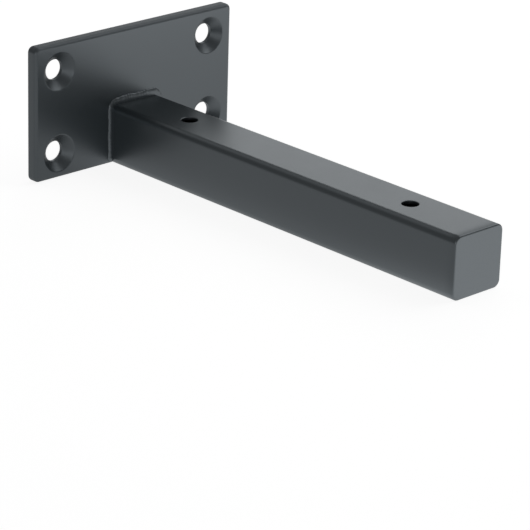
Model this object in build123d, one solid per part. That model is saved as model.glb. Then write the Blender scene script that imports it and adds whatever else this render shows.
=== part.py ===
from build123d import *
from math import cos, radians, sin, tan
import os

# Floating shelf bracket: a steel plate that screws to the wall, and a closed square tube
# welded to it, which goes into or under the shelf. All sizes are in millimetres.
# X runs out from the wall, Y along the wall and Z up. The origin is on the wall face,
# in the middle of the four wall-screw holes.

# Wall plate
plate_width = 103.5
plate_height = 55.75
plate_thickness = 5.0
plate_corner_radius = 2.5
plate_front_rim_radius = 1.5
plate_back_rim_radius = 0.8

# Four countersunk holes for the wall screws
screw_pitch_across = 79.0
screw_pitch_up = 34.0
screw_row_above_edge = 10.25
screw_hole_diameter = 8.4
countersink_diameter = 15.4
countersink_angle = 90.0
countersink_lip_radius = 0.8

# Arm of square tube
arm_side = 25.0
arm_wall = 1.2
arm_corner_radius = 3.0
arm_projection = 190.0
arm_below_plate = 0.25

# Two holes through the arm for the shelf screws
shelf_hole_diameter = 6.6
shelf_hole_from_plate = 33.0
shelf_hole_pitch = 122.0
shelf_hole_lip_radius = 0.3

# Plate that closes the arm's free end
cap_thickness = 3.0
cap_rim_radius = 0.7

# Fillet weld round the arm's root
weld_leg_on_sides = 1.6
weld_leg_on_top = 3.0
weld_leg_along_arm = 0.9
weld_crown = 0.35
weld_end_above_edge = 0.8

# Levels and stations that follow from the sizes
plate_bottom = -screw_pitch_up / 2 - screw_row_above_edge
plate_middle = plate_bottom + plate_height / 2
arm_bottom = plate_bottom - arm_below_plate
arm_middle = arm_bottom + arm_side / 2
arm_top = arm_bottom + arm_side
arm_root = plate_thickness
tube_length = arm_projection - cap_thickness
cap_seat = arm_root + tube_length


def section_at(x, z, sketch):
    """A sketch stood upright, square to the arm, at station x with its centre at height z."""
    return Plane.YZ.offset(x) * Pos(0, z) * sketch


def arm_outline():
    """The tube's outer section: a square with rounded corners."""
    return RectangleRounded(arm_side, arm_side, arm_corner_radius)


def countersink_cutter():
    """Bore and cone with a soft lip, turned about X. The cone opens at the plate's front face."""
    bore = screw_hole_diameter / 2
    mouth = countersink_diameter / 2
    half = radians(countersink_angle / 2)
    depth = (mouth - bore) / tan(half)
    # The lip's arc touches the cone and the face this far from their sharp corner
    reach = countersink_lip_radius * tan((radians(90) - half) / 2)
    slope = (cos(half), sin(half))
    on_cone = (plate_thickness - reach * slope[0], mouth - reach * slope[1])
    on_face = (plate_thickness, mouth + reach)
    behind = -plate_thickness
    ahead = 2 * plate_thickness
    outline = Polyline((ahead, on_face[1]), (ahead, 0), (behind, 0), (behind, bore),
                       (plate_thickness - depth, bore), on_cone)
    outline += TangentArc(on_cone, on_face, tangent=slope)
    outline += Line(on_face, (ahead, on_face[1]))
    return revolve(Plane.XZ * make_face(outline), Axis.X)


def wall_plate():
    """Plate with rounded corners and rims and its four countersunk holes."""
    blank = extrude(section_at(0, plate_middle, RectangleRounded(plate_width, plate_height, plate_corner_radius)),
                    plate_thickness)
    plate = fillet(blank.faces().sort_by(Axis.X)[-1].edges(), plate_front_rim_radius)
    plate = fillet(plate.faces().sort_by(Axis.X)[0].edges(), plate_back_rim_radius)
    cutter = countersink_cutter()
    for y in (-screw_pitch_across / 2, screw_pitch_across / 2):
        for z in (-screw_pitch_up / 2, screw_pitch_up / 2):
            plate -= Pos(0, y, z) * cutter
    return plate


def shelf_hole_cutter():
    """Plain hole down through both walls of the tube, with a soft lip at each outer face."""
    radius = shelf_hole_diameter / 2
    lip = shelf_hole_lip_radius
    beyond = arm_side
    outline = Polyline((0, arm_top + beyond), (radius + lip, arm_top + beyond), (radius + lip, arm_top))
    outline += TangentArc((radius + lip, arm_top), (radius, arm_top - lip), tangent=(-1, 0))
    outline += Line((radius, arm_top - lip), (radius, arm_bottom + lip))
    outline += TangentArc((radius, arm_bottom + lip), (radius + lip, arm_bottom), tangent=(0, -1))
    outline += Polyline((radius + lip, arm_bottom), (radius + lip, arm_bottom - beyond),
                        (0, arm_bottom - beyond), (0, arm_top + beyond))
    return revolve(Plane.XZ * make_face(outline), Axis.Z)


def support_arm():
    """Square tube butted against the plate, drilled for the shelf screws."""
    bore_side = arm_side - 2 * arm_wall
    bore_corner = max(arm_corner_radius - arm_wall, arm_wall / 4)
    section = arm_outline() - RectangleRounded(bore_side, bore_side, bore_corner)
    tube = extrude(section_at(arm_root, arm_middle, section), tube_length)
    cutter = shelf_hole_cutter()
    first = arm_root + shelf_hole_from_plate
    for x in (first, first + shelf_hole_pitch):
        tube -= Pos(x, 0, 0) * cutter
    return tube


def end_cap():
    """Square plate on the tube's free end, flush with its sides, front rim rounded."""
    blank = extrude(section_at(cap_seat, arm_middle, arm_outline()), cap_thickness)
    rim = blank.faces().sort_by(Axis.X)[-1].edges()
    return fillet(rim, cap_rim_radius)


def weld_section(part_way):
    """The bead's outer form at one station, from 0 at the plate to 1 where it runs out on the arm."""
    flat = 1 - part_way
    swell = 4 * weld_crown * part_way * flat
    on_sides = weld_leg_on_sides * flat + swell
    on_top = weld_leg_on_top * flat + swell
    width = arm_side + 2 * on_sides
    height = 2 * arm_side
    corner = arm_corner_radius + (on_sides + on_top) / 2
    x = arm_root + weld_leg_along_arm * part_way
    return section_at(x, arm_top + on_top - height / 2, RectangleRounded(width, height, corner))


def root_weld():
    """Crowned fillet bead up one side of the tube, across its top and down the other side."""
    form = loft([weld_section(part_way) for part_way in (0, 0.3, 0.6, 0.85, 1)])
    room_for_arm = extrude(section_at(arm_root, arm_middle, arm_outline()), arm_side)
    bead = form - room_for_arm
    # Both legs of the bead stop a little above the plate's lower edge
    below = Box(2 * arm_side, 2 * arm_side, 2 * arm_side, align=(Align.CENTER, Align.CENTER, Align.MAX))
    bead -= Pos(arm_root, 0, plate_bottom + weld_end_above_edge) * below
    return bead


pieces = {
    "wall_plate": wall_plate(),
    "support_arm": support_arm(),
    "end_cap": end_cap(),
    "root_weld": root_weld(),
}

os.makedirs("parts", exist_ok=True)
for name, piece in pieces.items():
    export_step(piece, f"parts/{name}.step")
    size = piece.bounding_box().size
    print(f"{name}: {piece.volume:.0f} mm3, {size.X:.2f} x {size.Y:.2f} x {size.Z:.2f}")
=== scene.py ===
import bpy
import numpy as np
from math import cos, pi, radians, sin
from mathutils import Matrix, Vector


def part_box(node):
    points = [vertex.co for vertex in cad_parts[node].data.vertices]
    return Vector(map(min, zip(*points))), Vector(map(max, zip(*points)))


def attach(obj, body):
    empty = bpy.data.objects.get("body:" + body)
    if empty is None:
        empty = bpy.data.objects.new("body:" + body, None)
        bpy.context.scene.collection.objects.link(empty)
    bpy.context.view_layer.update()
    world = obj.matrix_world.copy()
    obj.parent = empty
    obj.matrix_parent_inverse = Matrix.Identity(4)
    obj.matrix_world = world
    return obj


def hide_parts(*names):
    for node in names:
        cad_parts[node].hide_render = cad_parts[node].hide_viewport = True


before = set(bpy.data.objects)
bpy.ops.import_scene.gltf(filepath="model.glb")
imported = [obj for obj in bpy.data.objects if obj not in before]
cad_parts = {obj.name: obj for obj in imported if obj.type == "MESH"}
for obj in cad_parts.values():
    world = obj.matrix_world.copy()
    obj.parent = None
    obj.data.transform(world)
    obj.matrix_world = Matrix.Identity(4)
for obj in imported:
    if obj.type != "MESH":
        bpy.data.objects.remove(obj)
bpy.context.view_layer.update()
scene = bpy.context.scene


# Camera
# A long lens looks down along the arm from the room side, from the right of its free end.
# It is rolled by a little under two degrees.
camera_place = Vector((0.82457, -0.71012, 0.35792))
camera_aim = Vector((0.12532, -0.03981, -0.02750))
camera_roll = radians(-1.727)
film_width = 36.0
focal_length = 191.2
nearest_seen = 0.05

camera = bpy.data.objects.new("camera", bpy.data.cameras.new("camera"))
scene.collection.objects.link(camera)
camera.data.sensor_width = film_width
camera.data.lens = focal_length
camera.data.clip_start = nearest_seen
level_view = (camera_aim - camera_place).to_track_quat("-Z", "Y").to_matrix().to_4x4()
roll = Matrix.Rotation(-camera_roll, 4, "Z")
camera.matrix_world = Matrix.Translation(camera_place) @ level_view @ roll
scene.camera = camera
scene.view_settings.view_transform = "Standard"


# Floor and surroundings
# The arm rests on a white sheet in a dim room. Round softboxes stand past its far side, low in front of it and
# high behind the plate. The sheet glows to the camera, so it is plain white with a faint shadow.
# Glossy rays meet painted light instead of the lit sheet: a glow in three tones, dim on the near side, paler
# by the plate and white beyond, which the coat mirrors as painted reflections.
floor_half = 4.0
floor_white = 0.8
glow_to_eye = 0.5
lift_to_eye = 0.38
# Tones of the painted light that reflections see on the sheet, and where along and across it they change.
painted_light_on_left = 0.40
painted_light_by_plate = 0.66
painted_light_left_ends = (-0.035, -0.003)
painted_light_plate_ends = (0.11, 0.20)
room_level = 0.17
arm_middle = Vector((0.1, 0, 0))
plain_white = (1, 1, 1, 1)


class Shade:
    """A socket that does sums. An operator adds the Math node for it and returns that node's output."""

    def __init__(self, tree, socket=None):
        self.tree = tree
        self.socket = socket

    def add(self, kind, settings, values, output=0):
        """Adds one node and returns an output of it. Its settings come first, then its sockets."""
        node = self.tree.nodes.new("ShaderNode" + kind)
        for name, setting in settings.items():
            setattr(node, name, setting)
        for key, value in values.items():
            if isinstance(value, Shade):
                self.tree.links.new(value.socket, node.inputs[key])
            else:
                node.inputs[key].default_value = value
        return Shade(self.tree, node.outputs[output] if node.outputs else None)

    def maths(self, operation, first, second=0.0):
        return self.add("Math", {"operation": operation}, {0: first, 1: second})

    def __add__(self, other):
        return self.maths("ADD", self, other)

    def __mul__(self, other):
        return self.maths("MULTIPLY", self, other)

    def __sub__(self, other):
        return self.maths("SUBTRACT", self, other)

    def __rsub__(self, other):
        return self.maths("SUBTRACT", other, self)

    __radd__ = __add__
    __rmul__ = __mul__

    def size(self):
        return self.maths("ABSOLUTE", self)

    def at_least(self, other):
        return self.maths("MAXIMUM", self, other)

    def at_most(self, other):
        return self.maths("MINIMUM", self, other)

    def power(self, other):
        return self.maths("POWER", self, other)

    def ramp(self, start, end):
        """Rises smoothly from 0 where this is start to 1 where it is end, and is flat beyond them."""
        smooth = {"interpolation_type": "SMOOTHSTEP"}
        return self.add("MapRange", smooth, {"Value": self, "From Min": start, "From Max": end})

    def place(self):
        """The place on the surface, in metres from the bracket's origin."""
        return self.add("TexCoord", {}, {}, "Object")

    def parts(self):
        """The three parts of a place: out from the wall, along the wall and up."""
        split = self.add("SeparateXYZ", {}, {0: self}).socket.node
        return [Shade(self.tree, socket) for socket in split.outputs]


def start_tree(owner):
    """An empty node tree on a material or world, to build from."""
    owner.use_nodes = True
    owner.node_tree.nodes.clear()
    return Shade(owner.node_tree)


def ray(tree, kind):
    """1 for the rays of one kind, and 0 for the rest."""
    return tree.add("LightPath", {}, {}, f"Is {kind} Ray")


def grid_mesh(name, points, closed=False):
    """Quads over a grid of points, rows by columns by three.

    closed makes a solid of it: each row is a ring, whose ends are joined, and a fan of triangles from the mean
    of its points shuts the first ring and the last.
    """
    rows, columns = points.shape[:2]
    index = np.arange(rows * columns).reshape(rows, columns)
    places = points.reshape(-1, 3)
    fans = []
    if closed:
        index = np.concatenate([index, index[:, :1]], 1)
        places = np.concatenate([places, [points[0].mean(0), points[-1].mean(0)]])
        first = np.stack([np.full(columns, rows * columns), index[0, 1:], index[0, :-1]], 1)
        last = np.stack([np.full(columns, rows * columns + 1), index[-1, :-1], index[-1, 1:]], 1)
        fans = first.tolist() + last.tolist()
    quads = np.stack([index[:-1, :-1], index[:-1, 1:], index[1:, 1:], index[1:, :-1]], -1)
    mesh = bpy.data.meshes.new(name)
    mesh.from_pydata(places.tolist(), [], quads.reshape(-1, 4).tolist() + fans)
    return mesh


def add_object(name, mesh, material):
    mesh.materials.append(material)
    piece = bpy.data.objects.new(name, mesh)
    scene.collection.objects.link(piece)
    return piece


floor_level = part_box("support_arm")[0].z
edges = np.linspace(-floor_half, floor_half, 2)
across, along = np.meshgrid(edges, edges)
floor_mesh = grid_mesh("floor", np.stack([across, along, np.full_like(across, floor_level)], -1))

white_sheet = bpy.data.materials.new("white_sheet")
tree = start_tree(white_sheet)
out, across, up = tree.place().parts()
# Painted light seen only in reflections: the glow's tone, dim on the near side, paler by the plate and white
# past it.
painted_light_past_plate = out.ramp(*painted_light_plate_ends) * (1 - painted_light_by_plate) + painted_light_by_plate
level = across.ramp(*painted_light_left_ends) * (painted_light_past_plate - painted_light_on_left) + painted_light_on_left
painted_reflection_colour = tree.add("CombineColor", {}, {0: level, 1: level, 2: level})
painted_reflection = tree.add("Emission", {}, {"Color": painted_reflection_colour, "Strength": 1.0})
lit = tree.add("BsdfDiffuse", {}, {"Color": (floor_white, floor_white, floor_white, 1)})
glow = tree.add("Emission", {}, {"Color": plain_white, "Strength": 1.0})
lift = tree.add("Emission", {}, {"Color": plain_white, "Strength": ray(tree, "Camera") * lift_to_eye})
# Glossy and transmission rays see this painted glow in place of the lamp-lit sheet.
by_gloss = (ray(tree, "Glossy") + ray(tree, "Transmission")).at_most(1.0)
sheet = tree.add("MixShader", {}, {0: by_gloss, 1: lit, 2: painted_reflection})
sheet = tree.add("MixShader", {}, {0: ray(tree, "Camera") * glow_to_eye, 1: sheet, 2: glow})
tree.add("OutputMaterial", {}, {"Surface": tree.add("AddShader", {}, {0: sheet, 1: lift})})
add_object("floor", floor_mesh, white_sheet)

scene.world = bpy.data.worlds.new("room")
tree = start_tree(scene.world)
level = ray(tree, "Camera") * (1 - room_level) + room_level
room = tree.add("Background", {}, {"Color": plain_white, "Strength": level})
tree.add("OutputWorld", {}, {"Surface": room})


def softbox(name, azimuth, elevation, distance, radius, brightness):
    """A round softbox that faces the arm's middle.

    The azimuth is counted from +X towards +Y, and both angles are in degrees. The power is brightness x pi x
    the area, so brightness is how white its own face looks.
    """
    azimuth, elevation = radians(azimuth), radians(elevation)
    way = Vector((cos(azimuth) * cos(elevation), sin(azimuth) * cos(elevation), sin(elevation)))
    lamp = bpy.data.lights.new(name, "AREA")
    lamp.shape = "DISK"
    lamp.size = 2 * radius
    lamp.energy = brightness * pi * pi * radius ** 2
    light = bpy.data.objects.new(name, lamp)
    scene.collection.objects.link(light)
    turn = way.to_track_quat("Z", "Y").to_matrix().to_4x4()
    light.matrix_world = Matrix.Translation(arm_middle + way * distance) @ turn


softbox("back_light", 129, 16, 1.5, 0.60, 0.87)
softbox("side_light", 80, 44, 1.5, 0.62, 0.95)
softbox("low_light", -46, 6, 1.6, 0.45, 1.0)
softbox("high_light", 185, 50, 1.6, 0.45, 0.2)


# Wall plate
# A 5 mm steel plate, cut to size with softened rims, and drilled and countersunk for four wall screws.
# It is powder coated with the rest of the bracket after welding. The sheared top and bottom rims and the
# turned countersinks are rougher under the coat, so they shine less.
coat_colour = (0.012, 0.017, 0.020, 1)
coat_roughness = 0.34
coat_specular = 1.0
coat_index = 1.85
coat_tint = (0.85, 0.94, 1.0, 1)
peel_size = 0.0014
peel_height = 0.000003
mottle_size = 1 / 60
mottle_depth = 0.05
rim_roughness = 0.22
rim_width = 0.0014
rim_outer = 0.0004
wall_screw_across = 0.0395
wall_screw_up = 0.017
countersink_reach = 0.0077
countersink_blend = 0.001
countersink_roughness = 0.09
sharp_angle = radians(35)
same_point = 1e-6


def new_coat(name):
    """A material for one piece of the coated bracket, and its empty tree."""
    material = bpy.data.materials.new(name)
    return material, start_tree(material)


def coat_over(tree, relief=0.0, dull=0.0):
    """The powder coat itself: a satin black with orange peel and a slight mottle in its gloss.

    relief is the height in metres of whatever shows through the coat, and dull adds to its roughness.
    """
    place = tree.place()
    fine = {"Vector": place, "Scale": 1 / peel_size, "Detail": 2.0, "Roughness": 0.5}
    height = tree.add("TexNoise", {}, fine) * peel_height + relief
    bump = tree.add("Bump", {}, {"Strength": 1.0, "Distance": 1.0, "Height": height}, "Normal")
    broad = {"Vector": place, "Scale": 1 / mottle_size, "Detail": 3.0, "Roughness": 0.6}
    mottle = (tree.add("TexNoise", {}, broad) - 0.5) * mottle_depth
    coat = tree.add("BsdfPrincipled", {}, {
        "Base Color": coat_colour,
        "Roughness": mottle + coat_roughness + dull,
        "Specular IOR Level": coat_specular,
        "IOR": coat_index,
        "Specular Tint": coat_tint,
        "Normal": bump,
    })
    tree.add("OutputMaterial", {}, {"Surface": coat})


def finish_cad_node(name, material):
    """Gives a CAD node its finish. Its triangles are joined, and shaded smooth between its sharp edges."""
    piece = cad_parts[name]
    piece.data.materials.clear()
    piece.data.materials.append(material)
    piece.data.shade_smooth()
    joined = piece.modifiers.new("join_triangles", "WELD")
    joined.merge_threshold = same_point
    split = piece.modifiers.new("part_at_sharp_edges", "EDGE_SPLIT")
    split.split_angle = sharp_angle
    piece.modifiers.new("even_normals", "WEIGHTED_NORMAL")


low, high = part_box("wall_plate")
half_height = (high.z - low.z) / 2
plate_coat, tree = new_coat("plate_coat")
out, across, up = tree.place().parts()
from_middle_up = (up - (low.z + high.z) / 2).size()
rim = from_middle_up.ramp(half_height - rim_width, half_height - rim_outer)
beside = across.size() - wall_screw_across
above = up.size() - wall_screw_up
from_screw = (beside * beside + above * above).power(0.5)
sink = 1 - from_screw.ramp(countersink_reach - countersink_blend, countersink_reach + countersink_blend)
coat_over(tree, dull=rim * rim_roughness + sink * countersink_roughness)
finish_cad_node("wall_plate", plate_coat)


# Support arm
# A length of square steel tube with round corners, drilled through for two shelf screws.
# Its free end is ground flush after the cap is welded on, which takes a little off the last few millimetres.
ground_length = 0.006
ground_depth = 0.0007
arm_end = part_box("end_cap")[1].x


def ground_end(tree):
    """Height lost to grinding: the full depth x the cube of the way along the ground length, 0 to 1."""
    out, across, up = tree.place().parts()
    along = (out - (arm_end - ground_length)).at_least(0.0) * (1 / ground_length)
    return along * along * along * -ground_depth


arm_coat, tree = new_coat("arm_coat")
coat_over(tree, relief=ground_end(tree))
finish_cad_node("support_arm", arm_coat)


# End cap
# A square of 3 mm plate welded onto the open end of the tube. It is ground flush with the tube all round,
# so that no seam shows, and the rim of its face is rounded.
cap_coat, tree = new_coat("cap_coat")
coat_over(tree, relief=ground_end(tree))
finish_cad_node("end_cap", cap_coat)


# Root weld
# A fillet weld that joins the tube to the plate, laid up one side, across the top and down the other side.
# The bead is fuller across the top, and the coat has softened its ripples.
bead_reach_on_sides = 0.0018
bead_reach_on_top = 0.0029
bead_reach_along_arm = 0.0008
bead_fullness = 1.5
bead_root = 0.0006
bead_end_length = 0.0016
bead_end_size = 0.05
bead_ripple = 0.03
bead_ripple_length = 0.0017
bead_ripple_drift = 800
bead_wander = 0.06
bead_slow_wander = 610
bead_quick_wander = 1490
tube_corner = 0.003
bead_rows = 420
bead_columns = 28


def bead_path(rows):
    """The line the weld follows round the tube: place (y, z) and outward direction (y, z) at even steps.

    It runs straight up the left side, round a quarter circle, along the top, round another, and down.
    """
    arm_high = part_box("support_arm")[1]
    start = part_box("root_weld")[0].z
    side = arm_high.z - tube_corner - start
    bend = tube_corner * pi / 2
    top = 2 * (arm_high.y - tube_corner)
    total = 2 * side + 2 * bend + top
    run = np.linspace(0, total, rows)
    # The outward direction turns from -Y through +Z to +Y as the run goes round the two bends
    turned = np.clip(run - side, 0, bend) + np.clip(run - side - bend - top, 0, bend)
    angle = pi - turned / tube_corner
    outward = np.stack([np.cos(angle), np.sin(angle)], 1)
    climb = np.minimum(run, side) - np.clip(run - side - 2 * bend - top, 0, side)
    cross = np.clip(run - side - bend, 0, top)
    centre = np.stack([cross - top / 2, start + climb], 1)
    return centre + outward * tube_corner, outward, run, total


def root_bead():
    """Closed rings along the path: the bead's convex face, then back through the metal.

    A ring's face is a quarter of an ellipse: reach x sin(angle) away from the tube and rise x cos(angle)
    away from the plate, for angles from 0 to 90 degrees. Its back runs behind the plate's face and inside
    the tube's wall by the bead's root. Ripples and a wander scale the reach and the rise. Both are sines of
    the run along the path, with the wander and the ripples' drift in radians a metre. At its two ends the
    bead shrinks as a quarter circle does.
    """
    place, outward, run, total = bead_path(bead_rows)
    fuller = np.clip(outward[:, 1], 0, 1) ** bead_fullness
    slow = np.sin(run * bead_slow_wander + 1.3)
    quick = np.sin(run * bead_quick_wander + 4.0)
    wander = 1 + bead_wander * (slow + 0.6 * quick)
    drift = 2 * np.sin(run * bead_ripple_drift)
    ripple = 1 + bead_ripple * np.sin(run * 2 * pi / bead_ripple_length + drift)
    from_end = np.clip(np.minimum(run, total - run) / bead_end_length, 0, 1)
    taper = np.sqrt(np.clip(1 - (1 - from_end) ** 2, bead_end_size ** 2, 1))
    reach_plain = bead_reach_on_sides + (bead_reach_on_top - bead_reach_on_sides) * fuller
    reach = reach_plain * wander * ripple * taper
    rise = bead_reach_along_arm * np.sqrt(wander) * ripple * taper
    behind = -bead_root * taper
    angle = np.linspace(0, pi / 2, bead_columns)
    face = np.stack([np.outer(reach, np.sin(angle)), np.outer(rise, np.cos(angle))], -1)
    back = np.stack([np.stack([reach, behind], -1), np.stack([behind, behind], -1),
                     np.stack([behind, rise], -1)], 1)
    away_from_tube, away_from_plate = np.moveaxis(np.concatenate([face, back], 1), -1, 0)
    round_tube = place[:, None] + outward[:, None] * away_from_tube[..., None]
    out_from_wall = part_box("wall_plate")[1].x + away_from_plate
    return np.concatenate([out_from_wall[..., None], round_tube], -1)


weld_mesh = grid_mesh("root_weld_bead", root_bead(), closed=True)
weld_mesh.shade_smooth()
weld_coat, tree = new_coat("weld_coat")
coat_over(tree)
bead = add_object("root_weld_bead", weld_mesh, weld_coat)
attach(bead, "root")
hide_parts("root_weld")
